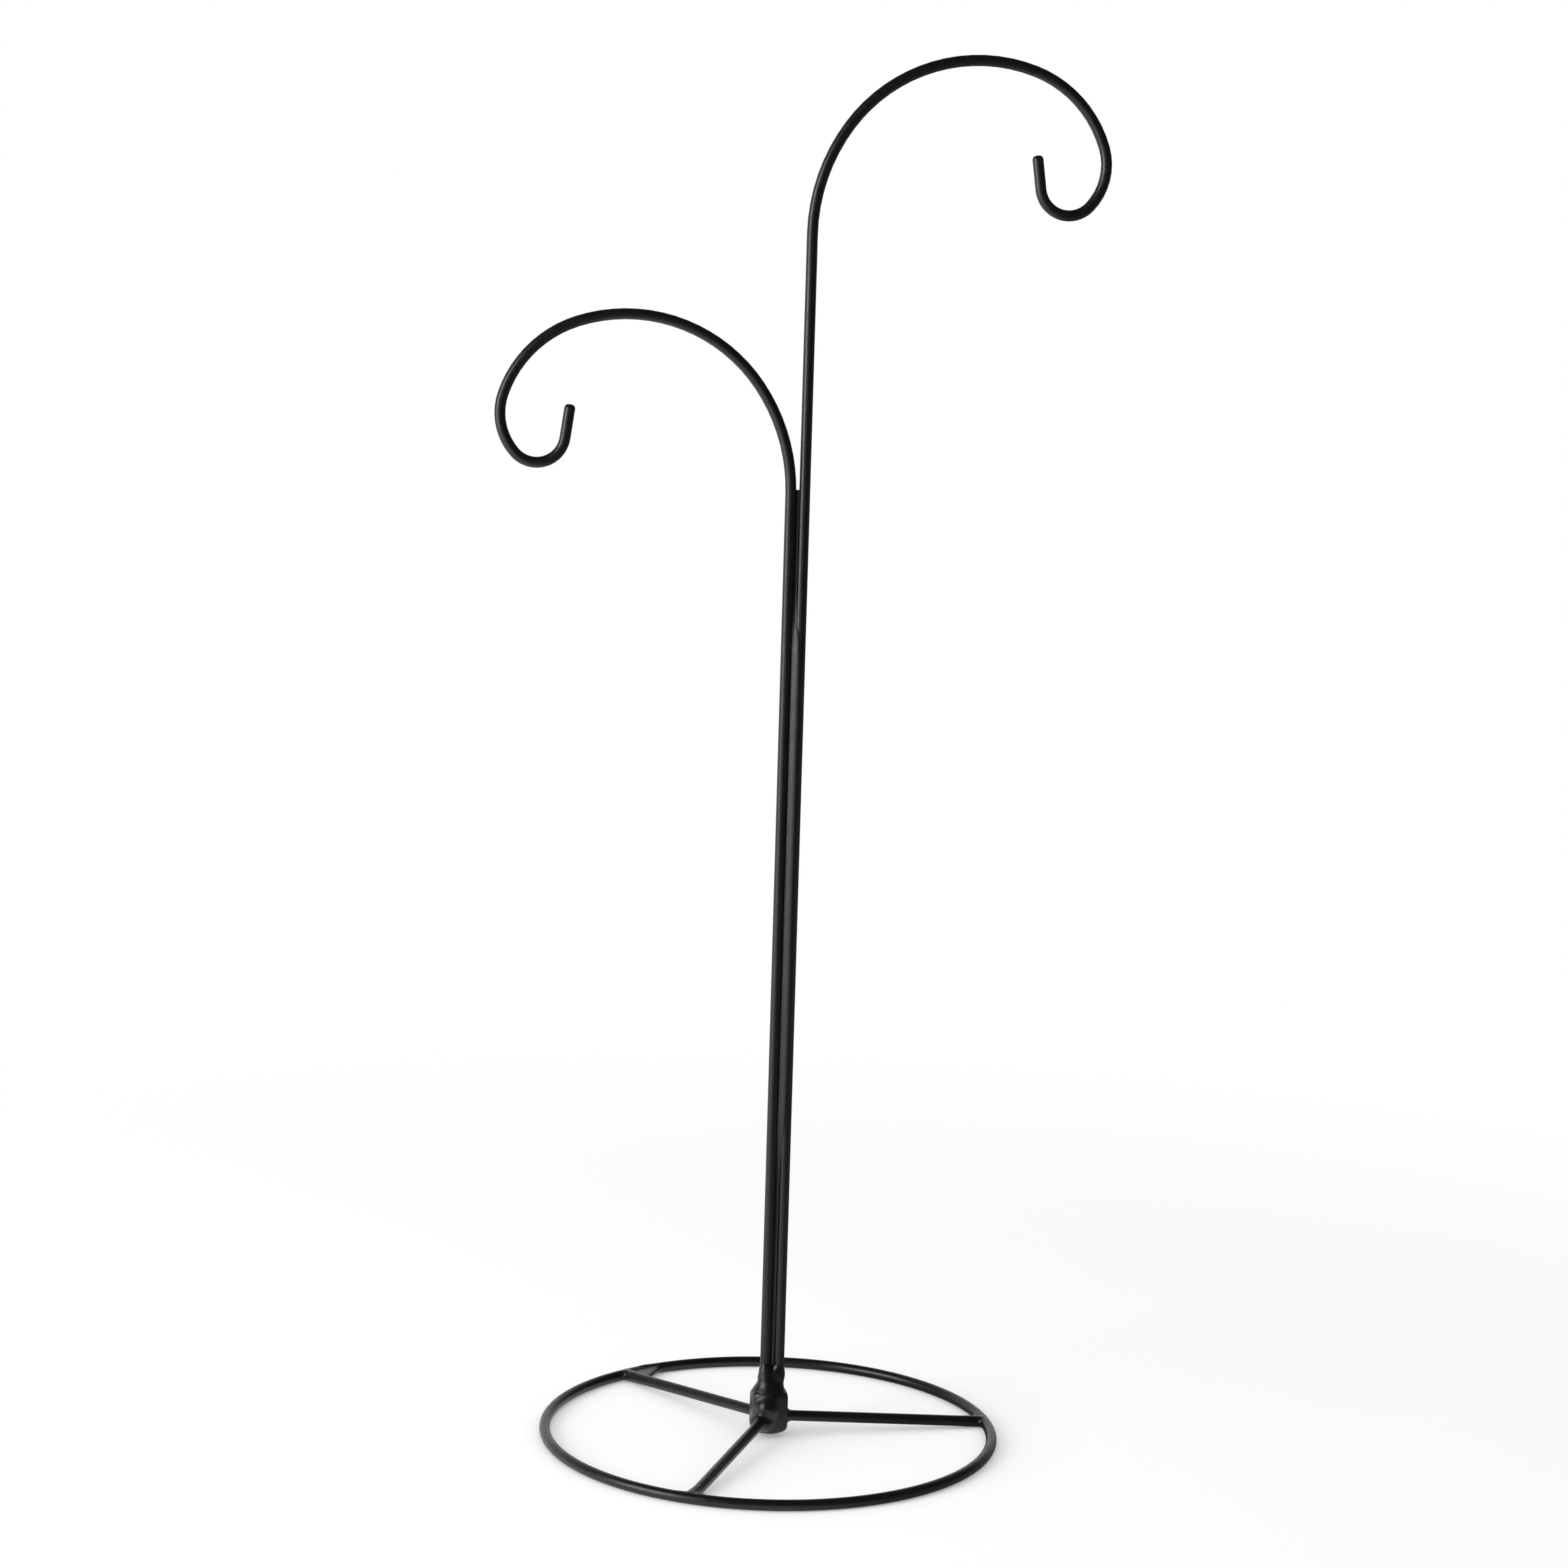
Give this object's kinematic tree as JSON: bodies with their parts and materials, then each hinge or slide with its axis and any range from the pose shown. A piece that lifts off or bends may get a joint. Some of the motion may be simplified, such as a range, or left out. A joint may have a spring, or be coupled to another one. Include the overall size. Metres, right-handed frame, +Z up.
{
  "type": "wind chime hanger",
  "caption": "Free-standing black wire stand with a tall and a short curled hook on one post, screwed into a round wire base with spokes.",
  "frame": {"origin": "on the table, on the axis of the hub nut, in the plane that the ring rests on", "axes": "+Z up along the post; +X the way the tall hook reaches, in the plane of both hooks; +Y away from the viewer of the picture"},
  "size_m": [0.2177, 0.17, 0.5063],
  "materials": {
    "black_paint": "semi-gloss black powder coat over steel wire",
    "stud_steel": "plain zinc-plated thread"
  },
  "bodies": {
    "base": {"hub_nut": "black_paint", "base_ring": "black_paint", "ring_butt_weld": "black_paint", "spoke_right": "black_paint", "spoke_rear": "black_paint", "spoke_front": "black_paint", "hub_weld_right": "black_paint", "hub_weld_rear": "black_paint", "hub_weld_front": "black_paint", "ring_weld_right": "black_paint", "ring_weld_rear": "black_paint", "ring_weld_front": "black_paint"},
    "stud": {"threaded_stud": "stud_steel"},
    "upright": {"tall_hook_rod": "black_paint", "short_hook_rod": "black_paint", "rod_seam_weld": "black_paint", "foot_weld": "black_paint"}
  },
  "joints": [
    {"name": "stud_lift", "type": "slide", "parent": "base", "child": "stud", "axis": [0, 0, 1], "range_m": [0, 0.01]},
    {"name": "upright_turn", "type": "hinge", "parent": "stud", "child": "upright", "pos_m": [0, 0, 0.017], "axis": [0, 0, 1], "range_deg": [0, 2880]}
  ],
  "couplings": [
    {"joint": "stud_lift", "follows": "upright_turn", "m_per_rad": 0.00019894}
  ]
}
